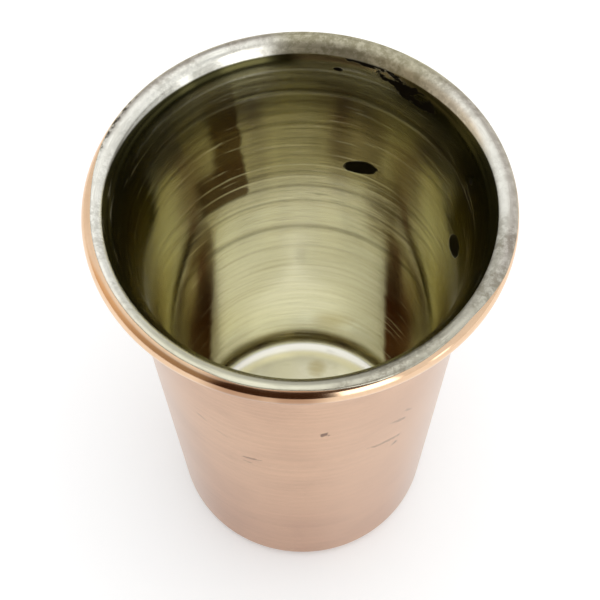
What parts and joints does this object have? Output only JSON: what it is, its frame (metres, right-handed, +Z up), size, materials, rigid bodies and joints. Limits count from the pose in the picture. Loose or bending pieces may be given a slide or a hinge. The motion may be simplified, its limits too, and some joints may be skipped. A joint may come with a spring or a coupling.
{
  "type": "shot glass",
  "caption": "Small spun copper drinking cup with a tapered wall, a flared lip with a rolled bead and a wiped tin lining, standing on a flat ring.",
  "frame": {"origin": "centre of the standing plane, on the cup's axis", "axes": "+Z up along the cup's axis of revolution, towards the mouth; X and Y are alike"},
  "size_m": [0.045, 0.045, 0.064],
  "materials": {
    "copper": "bright spun copper with fine turning lines and small nicks",
    "tin": "hand-wiped tin with turning lines, streaks and dark stains"
  },
  "bodies": {
    "root": {"copper_body": "copper", "tin_lining": "tin"}
  },
  "joints": []
}
